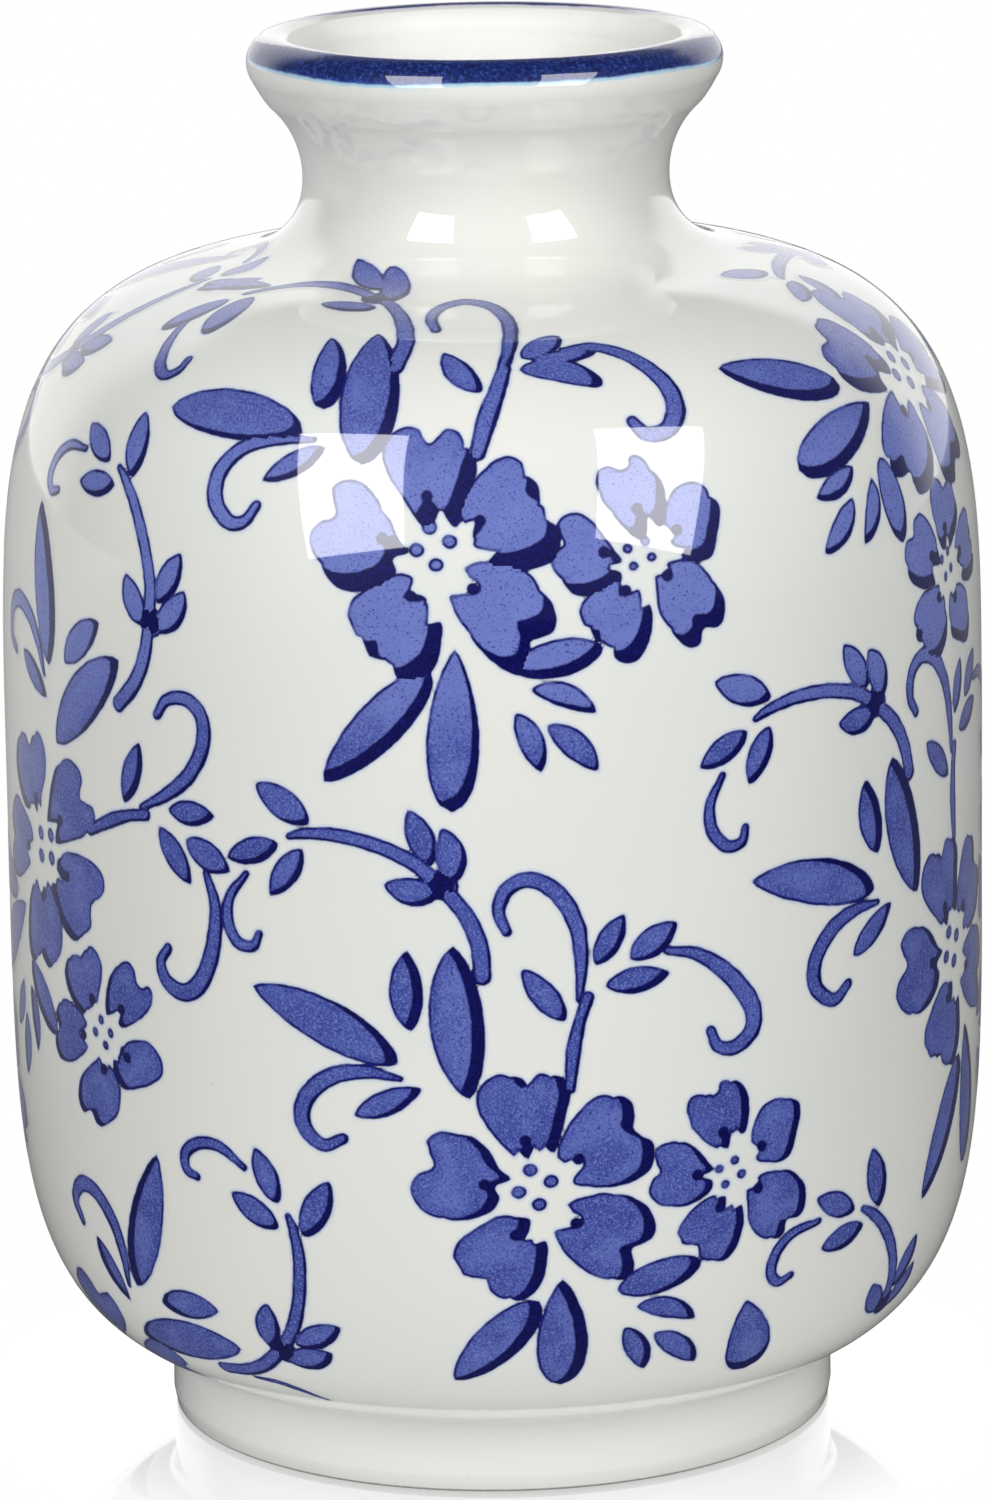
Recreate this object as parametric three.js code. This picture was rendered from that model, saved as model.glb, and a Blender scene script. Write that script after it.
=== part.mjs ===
// Talavera-style pottery vase: a barrel-shaped jar on a foot ring, with a short flared neck and a rolled lip.
//
// It is built as a potter builds a closed form of this size, from separately made sections of clay that are
// joined with slip before firing: a foot ring with a floor slab let into it, a lower and an upper half of the
// belly that meet at the widest point, a neck collar, and a rolled lip. The sections meet on level faces.
//
// Millimetres, +Z up. The origin is the centre of the foot, on the surface that the vase stands on.
import * as THREE from "three";

// Driving dimensions.
const HEIGHT = 254;
const BELLY_RADIUS = 89;
const WALL = 6;
const SEGMENTS = 64; // facets around the axis

// The belly is a superellipse above and another below its widest level.
const WIDEST_Z = 120.3;
const SHOULDER_RISE = 95.3; // from the widest level to the crown of the shoulder
const SHOULDER_SQUARENESS = 4.2;
const BELLY_DROP = 109.8; // from the widest level to the underside of the belly
const BELLY_SQUARENESS = 5.2;
const LOWER_WALL_SHARE = 0.58; // of WALL, that the inner face is let down by at the bottom of the belly
const STEP_EASING = 1.9; // how strongly the outline's points gather where the belly turns in

// Foot.
const FOOT_RADIUS = 61;
const FOOT_CONTACT_RADIUS = 58.5;
const FOOT_INNER_RADIUS = 51;
const FOOT_JOINT_Z = 14; // top of the foot ring, where the belly is joined on
const FOOT_EDGE_EASE = 0.6; // how far the foot's side leans in before its edge rounds off
const FOOT_EDGE_HEIGHT = 3.2;
const FOOT_COVE_DROP = 3.2; // height of the cove between the foot's side and the belly
const FOOT_COVE_FLARE = 0.9;
const UNDERSIDE_REACH = 3; // from the foot's side to where the belly's round underside begins
const FLOOR_SEAT_Z = 8; // ledge that the floor slab lies on
const BELLY_FLOOR_RADIUS = 51; // where the inner face of the belly meets the floor slab
const BELLY_FLOOR_Z = 16; // top of the small fillet there
const FLOOR_SEAT_RADIUS = 54;
const JOINT_GAP = 0.3; // slip-filled clearance around the floor slab

// Neck.
const NECK_RADIUS = 33;
const NECK_WAIST_Z = 228.2;
const FLARE_RADIUS = 17.5; // of the hollow outline between waist and lip
const NECK_JOINT_Z = 216.5;
const NECK_JOINT_RADIUS = 39.65;
// The shoulder sweeps up into the neck in one long cove, which the joint cuts in two.
const SHOULDER_COVE_RADIUS = 48; // where the cove starts
const SHOULDER_COVE_CORNER_RADIUS = 43;
const SHOULDER_COVE_CORNER_Z = 214.65;
const NECK_COVE_CORNER_Z = 220.2;

// Lip: an oval roll.
const LIP_JOINT_Z = 242.5;
const LIP_RADIUS = 42.7;
const LIP_HALF_WIDTH = 4.9;
const LIP_HALF_HEIGHT = 5.2;
const LIP_START_ANGLE = THREE.MathUtils.degToRad(-36); // where the flare runs into the roll
const LIP_STEPS = 12; // of 18 degrees, so that one point is the very top

const glaze = { color: 0xe9e8e1, roughness: 0.08, metalness: 0 };
const cobaltGlaze = { color: 0x1c2a78, roughness: 0.1, metalness: 0 };
const clay = { color: 0xd8cdb8, roughness: 0.8, metalness: 0 };

// A point of a lathe outline: radius from the axis, height above the surface.
function at(radius, z) {
  return new THREE.Vector2(radius, z);
}

// Radius of a superellipse of half-width `radius` and half-height `reach`, at a distance `rise` from its middle.
function superellipse(radius, reach, squareness, rise) {
  const left = 1 - Math.pow(Math.min(Math.abs(rise) / reach, 1), squareness);
  return radius * Math.pow(left, 1 / squareness);
}

// Radius of the belly at height z. `inset` is 0 outside, and WALL on the inner face.
function bellyRadius(z, inset) {
  const rise = z - WIDEST_Z;
  if (rise > 0) {
    return superellipse(BELLY_RADIUS - inset, SHOULDER_RISE - inset, SHOULDER_SQUARENESS, rise);
  }
  return superellipse(BELLY_RADIUS - inset, BELLY_DROP - LOWER_WALL_SHARE * inset, BELLY_SQUARENESS, rise);
}

// Height at which the belly, above or below its widest level, has the given radius.
function bellyHeight(radius, inset, reach, squareness) {
  const share = Math.pow(radius / (BELLY_RADIUS - inset), squareness);
  return WIDEST_Z + reach * Math.pow(1 - share, 1 / squareness);
}

// Points of the belly's face from one height to another, closer together towards `to`, where it curves most.
function bellyFace(from, to, inset, steps) {
  const points = [];
  for (let i = 0; i <= steps; i++) {
    const eased = 1 - Math.pow(1 - i / steps, STEP_EASING);
    const z = THREE.MathUtils.lerp(from, to, eased);
    points.push(at(bellyRadius(z, inset), z));
  }
  return points;
}

// Points of a curve that leaves `start` towards `corner` and arrives at `end` from it, without `start` itself.
function cove(start, corner, end, steps) {
  return new THREE.QuadraticBezierCurve(start, corner, end).getPoints(steps).slice(1);
}

// The hollow outline of the neck's flare, outside or, with the wall's thickness as inset, inside.
function flareRadius(z, inset) {
  const reach = FLARE_RADIUS + inset;
  const rise = z - NECK_WAIST_Z;
  return NECK_RADIUS + FLARE_RADIUS - Math.sqrt(reach * reach - rise * rise);
}

function flareFace(from, to, inset, steps) {
  const points = [];
  for (let i = 0; i <= steps; i++) {
    const z = THREE.MathUtils.lerp(from, to, i / steps);
    points.push(at(flareRadius(z, inset), z));
  }
  return points;
}

// Turns an outline, listed with the solid on its left, about the Z axis. It closes on its first point.
function turned(name, outline, finish) {
  const geometry = new THREE.LatheGeometry([...outline, outline[0].clone()], SEGMENTS);
  geometry.rotateX(Math.PI / 2);
  const mesh = new THREE.Mesh(geometry, new THREE.MeshStandardMaterial(finish));
  mesh.name = name;
  return mesh;
}

const coveStart = at(FOOT_RADIUS, FOOT_JOINT_Z - FOOT_COVE_DROP);
const coveEnd = at(FOOT_RADIUS + FOOT_COVE_FLARE, FOOT_JOINT_Z);

// The ring that the vase stands on: a bare level face, eased edges, and a ledge inside for the floor slab.
function footRing() {
  const contact = at(FOOT_CONTACT_RADIUS, 0);
  const corner = at(FOOT_RADIUS - FOOT_EDGE_EASE, 0);
  const side = at(FOOT_RADIUS, FOOT_EDGE_HEIGHT);
  return turned(
    "foot_ring",
    [
      at(FOOT_INNER_RADIUS, 0),
      contact,
      ...cove(contact, corner, side, 3),
      coveStart,
      coveEnd,
      at(FLOOR_SEAT_RADIUS, FOOT_JOINT_Z),
      at(FLOOR_SEAT_RADIUS, FLOOR_SEAT_Z),
      at(FOOT_INNER_RADIUS, FLOOR_SEAT_Z),
    ],
    clay,
  );
}

// The slab that closes the bottom, lying on the foot ring's ledge with its top level with the ring's.
function floorSlab() {
  const radius = FLOOR_SEAT_RADIUS - JOINT_GAP;
  const geometry = new THREE.LatheGeometry(
    [at(0, FLOOR_SEAT_Z), at(radius, FLOOR_SEAT_Z), at(radius, FOOT_JOINT_Z), at(0, FOOT_JOINT_Z)],
    SEGMENTS,
  );
  geometry.rotateX(Math.PI / 2);
  const mesh = new THREE.Mesh(geometry, new THREE.MeshStandardMaterial(glaze));
  mesh.name = "floor_slab";
  return mesh;
}

// The lower half of the belly, from the foot ring to the widest level.
function lowerBelly() {
  const undersideRadius = FOOT_RADIUS + UNDERSIDE_REACH;
  const undersideZ = bellyHeight(undersideRadius, 0, -BELLY_DROP, BELLY_SQUARENESS);
  const outside = bellyFace(WIDEST_Z, undersideZ, 0, 9).reverse();
  const inside = bellyFace(WIDEST_Z, BELLY_FLOOR_Z, WALL, 9);
  return turned(
    "lower_belly",
    [at(BELLY_FLOOR_RADIUS, FOOT_JOINT_Z), coveEnd, ...outside, ...inside],
    glaze,
  );
}

// The upper half of the belly and the shoulder, up to the neck.
function upperBelly() {
  const coveZ = bellyHeight(SHOULDER_COVE_RADIUS, 0, SHOULDER_RISE, SHOULDER_SQUARENESS);
  const corner = at(SHOULDER_COVE_CORNER_RADIUS, SHOULDER_COVE_CORNER_Z);
  const throat = NECK_RADIUS - WALL;
  const throatZ = bellyHeight(throat, WALL, SHOULDER_RISE - WALL, SHOULDER_SQUARENESS);
  return turned(
    "upper_belly_and_shoulder",
    [
      ...bellyFace(WIDEST_Z, coveZ, 0, 11),
      ...cove(at(SHOULDER_COVE_RADIUS, coveZ), corner, at(NECK_JOINT_RADIUS, NECK_JOINT_Z), 3),
      at(throat, NECK_JOINT_Z),
      ...bellyFace(WIDEST_Z, throatZ, WALL, 10).reverse(),
    ],
    glaze,
  );
}

// The neck collar, thrown separately: waisted, then flaring to the lip.
function neckCollar() {
  const joint = at(NECK_JOINT_RADIUS, NECK_JOINT_Z);
  const waist = at(NECK_RADIUS, NECK_WAIST_Z);
  return turned(
    "neck_collar",
    [
      at(NECK_RADIUS - WALL, NECK_JOINT_Z),
      joint,
      ...cove(joint, at(NECK_RADIUS, NECK_COVE_CORNER_Z), waist, 5),
      ...flareFace(NECK_WAIST_Z, LIP_JOINT_Z, 0, 5).slice(1),
      ...flareFace(NECK_WAIST_Z, LIP_JOINT_Z, WALL, 4).reverse(),
    ],
    glaze,
  );
}

// The rolled lip, an oval in section, running down inside into the throat.
function rolledLip() {
  const centre = at(LIP_RADIUS - LIP_HALF_WIDTH, HEIGHT - LIP_HALF_HEIGHT);
  const roll = new THREE.EllipseCurve(
    centre.x,
    centre.y,
    LIP_HALF_WIDTH,
    LIP_HALF_HEIGHT,
    LIP_START_ANGLE,
    Math.PI,
  );
  return turned(
    "rolled_lip",
    [
      at(flareRadius(LIP_JOINT_Z, WALL), LIP_JOINT_Z),
      at(flareRadius(LIP_JOINT_Z, 0), LIP_JOINT_Z),
      ...roll.getPoints(LIP_STEPS),
    ],
    cobaltGlaze,
  );
}

const vase = new THREE.Group();
vase.add(footRing(), floorSlab(), lowerBelly(), upperBelly(), neckCollar(), rolledLip());

export default vase;
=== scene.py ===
"""The looks of the talavera-style pottery vase: glaze, cobalt painting, lip band, studio.

The vase is a set of lathe-turned sections that stand for the CAD sections one by one. All of them, and
the painting, lie on one outline, so glaze and paint run on from section to section without a step. The
painting is geometry too: sheets that follow the glazed face, cut to the outline of each petal, leaf and
stem.

Lengths in the shape functions are millimetres and are scaled to metres where a mesh is made.
"""

import math

import bpy
import numpy as np
from mathutils import Matrix, Vector


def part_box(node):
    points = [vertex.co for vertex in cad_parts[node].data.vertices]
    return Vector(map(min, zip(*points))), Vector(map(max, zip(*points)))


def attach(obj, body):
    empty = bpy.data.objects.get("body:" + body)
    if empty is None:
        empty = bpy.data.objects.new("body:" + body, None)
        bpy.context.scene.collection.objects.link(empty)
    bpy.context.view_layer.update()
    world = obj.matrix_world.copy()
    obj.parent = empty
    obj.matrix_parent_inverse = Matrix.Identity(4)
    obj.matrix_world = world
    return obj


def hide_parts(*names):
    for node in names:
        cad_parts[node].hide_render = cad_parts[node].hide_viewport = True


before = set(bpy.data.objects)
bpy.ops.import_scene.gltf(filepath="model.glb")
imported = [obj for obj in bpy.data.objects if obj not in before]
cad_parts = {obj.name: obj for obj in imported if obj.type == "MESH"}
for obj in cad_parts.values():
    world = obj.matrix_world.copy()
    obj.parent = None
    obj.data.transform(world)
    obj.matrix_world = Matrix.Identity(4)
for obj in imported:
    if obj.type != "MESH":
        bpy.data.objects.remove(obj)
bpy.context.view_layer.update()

MM = 0.001


# ------------------------------
# Sizes. What the frame holds is read from it; the rest is the same outline as the CAD's.


def lowest(node):
    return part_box(node)[0].z / MM


def highest(node):
    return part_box(node)[1].z / MM


def reach(node):
    """How far the node reaches from the axis."""
    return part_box(node)[1].x / MM


HEIGHT = highest("rolled_lip")
WIDEST_Z = highest("lower_belly")
FOOT_JOINT_Z = lowest("lower_belly")
NECK_JOINT_Z = lowest("neck_collar")
LIP_JOINT_Z = lowest("rolled_lip")
FLOOR_UNDERSIDE_Z = lowest("floor_slab")
FLOOR_RADIUS = reach("floor_slab")
BELLY_RADIUS = reach("lower_belly")
LIP_RADIUS = reach("rolled_lip")

WALL = 6
SHOULDER_RISE = 95.3
SHOULDER_SQUARENESS = 4.2
BELLY_DROP = 109.8
BELLY_SQUARENESS = 5.2
LOWER_WALL_SHARE = 0.58

FOOT_RADIUS = 61
FOOT_INNER_RADIUS = 51
FOOT_CONTACT_RADIUS = 58.5
GLAZE_LINE_Z = 0.7  # the foot is bare clay below this
FOOT_COVE_Z = 10.8
FOOT_COVE_RADIUS = 64.6  # where the cove has run out into the belly's underside

SHOULDER_COVE_RADIUS = 48
SHOULDER_COVE_CORNER = (43, 214.65)
NECK_JOINT_RADIUS = 39.65
NECK_COVE_CORNER_Z = 220.2
NECK_RADIUS = 33
NECK_WAIST_Z = 228.2
FLARE_RADIUS = 17.5
FLARE_END_Z = 241  # where the flare starts to round over into the lip
LIP_HALF_WIDTH = 4.9
LIP_HALF_HEIGHT = 5.2
LIP_START_DEGREES = -36
INNER_FLOOR_RADIUS = 51


def bezier(start, corner, end, steps=30):
    """A curve from start to end that is drawn towards the corner."""
    t = np.linspace(0, 1, steps)[:, None]
    start, corner, end = np.array(start, float), np.array(corner, float), np.array(end, float)
    return (1 - t) ** 2 * start + 2 * t * (1 - t) * corner + t**2 * end


def superellipse(inset, reach_z, squareness, radii):
    """Height above (or, for a negative reach, below) the widest level where the belly has these radii."""
    share = (radii / (BELLY_RADIUS - inset)) ** squareness
    return WIDEST_Z + reach_z * (1 - share) ** (1 / squareness)


def belly_stretch(inset, reach_z, squareness, radius_out):
    """Outline of the belly from its widest level to where its radius is radius_out."""
    start = BELLY_RADIUS - inset
    radii = start - (start - radius_out) * np.linspace(0, 1, 500) ** 2.5
    return np.stack([radii, superellipse(inset, reach_z, squareness, radii)], 1)


def flare(z, inset):
    """Radius of the neck above its waist. inset is how far the face lies inside the outer one."""
    return NECK_RADIUS + FLARE_RADIUS - np.sqrt((FLARE_RADIUS + inset) ** 2 - (z - NECK_WAIST_Z) ** 2)


def lip_roll(start_degrees, end_degrees):
    """An arc of the lip's round section; 90 degrees is its crest."""
    angle = np.radians(np.linspace(start_degrees, end_degrees, 60))
    centre_radius = LIP_RADIUS - LIP_HALF_WIDTH
    centre_z = HEIGHT - LIP_HALF_HEIGHT
    return np.stack(
        [centre_radius + LIP_HALF_WIDTH * np.cos(angle), centre_z + LIP_HALF_HEIGHT * np.sin(angle)], 1
    )


def outline():
    """(radius, z) along the glazed face: up the outside from the foot, over the lip, down to the floor."""
    cove_z = superellipse(0, -BELLY_DROP, BELLY_SQUARENESS, FOOT_COVE_RADIUS)
    shoulder_z = superellipse(0, SHOULDER_RISE, SHOULDER_SQUARENESS, SHOULDER_COVE_RADIUS)
    neck_joint = (NECK_JOINT_RADIUS, NECK_JOINT_Z)
    flare_z = np.linspace(NECK_WAIST_Z, FLARE_END_Z, 60)
    flare_end = (flare(FLARE_END_Z, 0), FLARE_END_Z)
    roll = lip_roll(LIP_START_DEGREES, 180)
    inner_z = np.linspace(LIP_JOINT_Z, NECK_WAIST_Z, 60)
    throat = NECK_RADIUS - WALL
    inner_rise = SHOULDER_RISE - WALL
    inner_drop = BELLY_DROP - LOWER_WALL_SHARE * WALL
    pieces = [
        [(FOOT_RADIUS - 0.5, GLAZE_LINE_Z), (FOOT_RADIUS, 3.2), (FOOT_RADIUS, FOOT_COVE_Z)],
        bezier((FOOT_RADIUS, FOOT_COVE_Z), (FOOT_RADIUS + 0.1, cove_z - 0.6), (FOOT_COVE_RADIUS, cove_z)),
        belly_stretch(0, -BELLY_DROP, BELLY_SQUARENESS, FOOT_COVE_RADIUS)[::-1],
        belly_stretch(0, SHOULDER_RISE, SHOULDER_SQUARENESS, SHOULDER_COVE_RADIUS),
        bezier((SHOULDER_COVE_RADIUS, shoulder_z), SHOULDER_COVE_CORNER, neck_joint),
        bezier(neck_joint, (NECK_RADIUS, NECK_COVE_CORNER_Z), (NECK_RADIUS, NECK_WAIST_Z)),
        np.stack([flare(flare_z, 0), flare_z], 1),
        bezier(flare_end, (39.8, 242.1), roll[0]),
        roll,
        np.stack([flare(inner_z, WALL), inner_z], 1),
        [(throat, NECK_WAIST_Z - 1), (throat, NECK_JOINT_Z)],
        belly_stretch(WALL, inner_rise, SHOULDER_SQUARENESS, throat)[::-1],
        belly_stretch(WALL, -inner_drop, BELLY_SQUARENESS, INNER_FLOOR_RADIUS),
        [(INNER_FLOOR_RADIUS, FOOT_JOINT_Z)],
    ]
    points = np.vstack([np.array(piece, float) for piece in pieces])
    steps = np.hypot(*np.diff(points, axis=0).T)
    return points[np.concatenate([[True], steps > 1e-4])]


OUTLINE = outline()
# Length along the outline, counted from the widest level of the outside.
RUN = np.concatenate([[0], np.cumsum(np.hypot(*np.diff(OUTLINE, axis=0).T))])
CREST = int(np.argmax(OUTLINE[:, 1]))
RUN -= np.interp(WIDEST_Z, OUTLINE[:CREST, 1], RUN[:CREST])
RUN_CREST = RUN[CREST]


def run_outside(z):
    """Length along the outline at height z of the outside."""
    return float(np.interp(z, OUTLINE[: CREST + 1, 1], RUN[: CREST + 1]))


def run_inside(z):
    """Length along the outline at height z of the inside."""
    return float(np.interp(-z, -OUTLINE[CREST:, 1], RUN[CREST:]))


def outline_at(run):
    """Radius and z at these lengths along the outline."""
    return np.interp(run, RUN, OUTLINE[:, 0]), np.interp(run, RUN, OUTLINE[:, 1])


# The potter's hand: how far the face is from a true circle and a true outline, in mm.
INWARD = 0.16  # so that the unevenness and the painting stay inside the CAD's outline


def unevenness(theta, run):
    """How far the face lies outside its true circle: below nothing, and nothing at the foot and the lip."""
    swell = 0.06 * np.sin(2 * theta + run / 37 + 0.6) + 0.03 * np.sin(3 * theta - run / 23)
    rings = 0.015 * np.sin(run / 6.5 + 1.6 * np.sin(theta + 1))
    fade = np.clip((run - RUN[0]) / 12, 0, 1) * np.clip((RUN_CREST - 1 - run) / 8, 0, 1)
    return fade * (swell + rings - INWARD)


def skin_point(theta, run, lift=0.0):
    """Points of the glazed face, from the angle around the axis (0 is the front) and the outline's length.

    lift is how far they lie in front of the face.
    """
    radius, z = outline_at(run)
    ahead, rise = np.subtract(outline_at(run + 0.2), outline_at(run - 0.2))
    length = np.hypot(ahead, rise) + 1e-9
    off = unevenness(theta, run) + lift
    radius = radius + off * rise / length
    z = z - off * ahead / length
    return np.stack([radius * np.sin(theta), -radius * np.cos(theta), z + 0 * theta], -1)


def skin_normal(theta, run):
    """Directions straight out of the glazed face."""
    around = skin_point(theta + 0.003, run) - skin_point(theta - 0.003, run)
    along = skin_point(theta, run + 0.25) - skin_point(theta, run - 0.25)
    normal = np.cross(around, along)
    return normal / (np.linalg.norm(normal, axis=-1, keepdims=True) + 1e-12)


# ------------------------------
# The painting. It is laid out on the unrolled face: x is the length around the widest level, from the front
# and to the right, and y the length along the outline, up from the widest level. All in mm.
#
# Shapes are made in their own flat coordinates, and placed with a shift and a turn. Every shape gives, for a
# set of points, how deep they lie inside it (negative outside), and the same for its dark side.


def turned(points, degrees):
    """The points, turned anticlockwise around the origin."""
    c, s = math.cos(math.radians(degrees)), math.sin(math.radians(degrees))
    points = np.asarray(points, float)
    return np.stack([points[:, 0] * c - points[:, 1] * s, points[:, 0] * s + points[:, 1] * c], 1)


def smooth_line(points, steps=8):
    """A Catmull-Rom curve through the points, and through their widths where a third column holds them."""
    p = np.asarray(points, float)
    p = np.vstack([2 * p[0] - p[1], p, 2 * p[-1] - p[-2]])
    t = np.linspace(0, 1, steps, endpoint=False)[:, None]
    spans = []
    for a, b, c, d in zip(p[:-3], p[1:-2], p[2:-1], p[3:]):
        bend, twist = 2 * a - 5 * b + 4 * c - d, 3 * b - a - 3 * c + d
        spans.append(0.5 * (2 * b + (c - a) * t + bend * t**2 + twist * t**3))
    return np.vstack(spans + [p[-2:-1]])


def leaf(base, tip, width, bend=0.0, fullest=0.48, point=1.5):
    """A leaf from base to tip. bend is how far it bows to its left, as a share of its length.

    fullest is where along the leaf it is widest, and point is how drawn out its ends are.
    """
    t = np.linspace(0, 1, 26)
    base, tip = np.array(base, float), np.array(tip, float)
    along = tip - base
    left = np.array([-along[1], along[0]])
    spine = base + t[:, None] * along + (4 * bend * t * (1 - t))[:, None] * left
    p, q = point * fullest, point * (1 - fullest)
    half = t**p * (1 - t) ** q
    half *= width / 2 / half.max()
    side = np.gradient(spine, axis=0)
    side = np.stack([-side[:, 1], side[:, 0]], 1) / np.linalg.norm(side, axis=1, keepdims=True)
    return {
        "kind": "leaf",
        "outline": np.vstack([spine + side * half[:, None], (spine - side * half[:, None])[-2:0:-1]]),
    }


NICK_RADIUS = 1.15


def petal(centre, nick, corners):
    """A heart-shaped petal through its corners, around the flower's centre, with a dark nick at its base."""
    ring = [corners[-1], *corners, corners[0]]
    outline = smooth_line(ring, 5)[5:-6] + np.array(centre)
    return {"kind": "flower", "outline": outline, "drop": (np.array(nick) + np.array(centre), NICK_RADIUS)}


def dot(centre, radius, kind="flower"):
    """A small, slightly flattened blob."""
    t = np.linspace(0, 2 * math.pi, 14, endpoint=False)
    ring = np.array(centre) + radius * np.stack([np.cos(t) * 1.06, np.sin(t) * 0.96], 1)
    return {"kind": kind, "outline": ring}


def knot(centre, radius):
    """A dark blob where leaves meet a stem."""
    return {**dot(centre, radius, "stem"), "drop": (np.array(centre), radius - 0.1)}


def stroke(points, widths, kind="stem"):
    """A brush stroke along given points, with a width at each of them."""
    width = np.interp(np.linspace(0, 1, len(points)), np.linspace(0, 1, len(widths)), widths)
    return {"kind": kind, "line": np.column_stack([np.array(points, float), width])}


LARGE_PETALS = [
    (
        (-1.6, 8.4),
        [(-3.3, 5.3), (-6.1, 8.1), (-8.9, 11.9), (-10.2, 15.4), (-9.3, 18.6), (-6.6, 20.5), (-4.3, 20.2)]
        + [(-3.1, 18.6), (-2.0, 17.8), (-0.9, 18.9), (0.9, 20.6), (3.2, 19.8), (4.2, 16.9), (3.4, 13.4)]
        + [(2.5, 9.4), (1.2, 6.4), (-0.5, 7.6), (-1.5, 9.1), (-2.3, 7.4)],
    ),
    (
        (7.7, 4.7),
        [(3.8, 5.1), (4.2, 7.9), (6.4, 11.9), (9.4, 15.1), (12.4, 16.2), (14.7, 14.9), (15.3, 12.4)]
        + [(15.1, 10.1), (16.4, 8.7), (18.5, 7.4), (18.9, 4.9), (18.2, 2.2), (14.9, 0.2), (10.9, -0.5)]
        + [(7.2, -0.1), (6.6, 1.2), (8.2, 3.4), (8.1, 4.8), (6.4, 4.5), (4.9, 4.0)],
    ),
    (
        (7.2, -7.0),
        [(5.4, -3.6), (6.9, -2.5), (9.9, -1.9), (12.4, -1.6), (15.4, -2.8), (17.9, -4.9), (19.1, -7.9)]
        + [(18.7, -10.4), (16.6, -11.6), (14.8, -12.3), (15.4, -15.1), (14.7, -17.6), (12.4, -18.1)]
        + [(8.9, -16.4), (5.4, -13.1), (3.7, -10.1), (3.2, -8.2), (4.9, -7.8), (7.9, -7.2), (7.7, -5.9)]
        + [(6.2, -4.9)],
    ),
    (
        (-3.4, -8.8),
        [(-14.4, -13.1), (-13.6, -10.1), (-11.1, -7.9), (-7.6, -5.6), (-5.1, -4.9), (-3.1, -5.6)]
        + [(-3.3, -7.6), (-4.0, -9.3), (-2.4, -9.9), (-0.4, -9.6), (-0.1, -12.6), (-0.9, -17.1)]
        + [(-3.1, -20.1), (-5.6, -21.1), (-7.9, -19.6), (-8.9, -16.9), (-10.6, -16.9), (-13.1, -16.1)],
    ),
    (
        (-8.8, 0.6),
        [(-18.9, 8.4), (-16.6, 10.2), (-13.1, 9.8), (-10.1, 7.2), (-8.3, 3.9), (-6.4, 1.9), (-9.1, 0.6)]
        + [(-8.4, -1.6), (-10.1, -4.1), (-14.1, -5.6), (-18.1, -5.4), (-20.9, -3.1), (-21.9, -0.1)]
        + [(-20.4, 2.4), (-18.1, 3.4), (-17.6, 4.4), (-18.4, 6.4)],
    ),
]

SMALL_PETALS = [
    (
        (-1.3, 7.3),
        [(-8.5, 11.7), (-7.9, 14.1), (-5.9, 14.9), (-3.9, 14.2), (-2.5, 14.9), (-2.2, 16.3), (-0.7, 16.8)]
        + [(1.1, 15.4), (2.1, 12.7), (2.1, 9.7), (1.5, 7.2), (0.3, 6.7), (-1.2, 8.3), (-1.6, 6.0)]
        + [(-2.2, 4.3), (-4.2, 5.2), (-6.2, 7.2), (-7.7, 9.2)],
    ),
    (
        (6.5, 3.6),
        [(4.1, 4.5), (4.6, 7.7), (6.3, 10.7), (9.8, 11.9), (12.6, 10.7), (13.1, 8.2), (12.3, 4.7)]
        + [(11.1, 1.2), (8.8, 0.2), (6.3, 0.5), (5.1, 1.7), (7.0, 3.6), (5.0, 3.4)],
    ),
    (
        (5.6, -4.1),
        [(3.1, -4.1), (5.8, -3.6), (5.3, -2.1), (7.3, -1.3), (10.3, -1.5), (12.8, -3.3), (14.3, -5.8)]
        + [(14.2, -9.3), (12.8, -10.8), (10.4, -11.0), (9.9, -13.3), (8.3, -14.2), (6.1, -13.3)]
        + [(4.1, -10.8), (3.3, -7.3)],
    ),
    (
        (-2.0, -6.5),
        [(-10.2, -10.3), (-9.4, -8.1), (-7.2, -5.8), (-4.7, -4.3), (-2.7, -4.3), (-2.6, -7.4)]
        + [(-0.7, -6.6), (0.6, -6.4), (1.1, -9.3), (0.5, -12.8), (-1.2, -15.8), (-3.4, -16.6)]
        + [(-5.7, -15.6), (-6.3, -13.2), (-8.2, -12.9), (-9.5, -12.2)],
    ),
    (
        (-6.3, 0.1),
        [(-14.7, 4.7), (-13.4, 6.4), (-10.7, 6.9), (-8.2, 5.4), (-6.2, 2.9), (-4.9, 0.9), (-7.2, 0.0)]
        + [(-5.2, -0.9), (-5.2, -2.8), (-7.7, -4.5), (-10.7, -5.2), (-13.7, -4.6), (-15.5, -2.1)]
        + [(-14.7, 0.4), (-13.5, 1.4), (-14.2, 2.9)],
    ),
]


def cluster(left_tip=(-17.5, -42.5), right_tip=(5.2, -46)):
    """The large and the small flower, with leaves under them. The origin is the large flower's centre."""
    small_centre = (35.6, -0.3)
    shapes = [petal((0, 0), nick, corners) for nick, corners in LARGE_PETALS]
    shapes += [petal(small_centre, nick, corners) for nick, corners in SMALL_PETALS]
    shapes += [dot(spot, 1.4) for spot in ((-0.8, 3.1), (2.8, 0.9), (-2.8, -0.9), (0.7, -3.2))]
    shapes += [dot(spot, 1.0) for spot in ((33.5, 0.3), (36.6, 1.5), (37.9, -1.2), (34.7, -2.7))]
    return shapes + [
        leaf((14.4, -20.4), (30.2, -16.5), 6.8, 0, 0.5, 1.2),
        leaf((0.8, -21.5), left_tip, 8.6, 0, 0.45, 1.2),
        leaf((4.6, -17.3), right_tip, 9.4, 0, 0.6, 1.3),
        leaf((15.4, -28), (20.3, -38.4), 4.8, 0.05),
        leaf((20.8, -30), (30.2, -38.2), 5, 0.06),
        leaf((17.8, -24), (29.4, -28), 4.5, 0.1),
    ]


def low_cluster():
    """The same spray with its two long leaves a little shorter."""
    return cluster((-14.6, -39.1), (5.1, -40.9))


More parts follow.
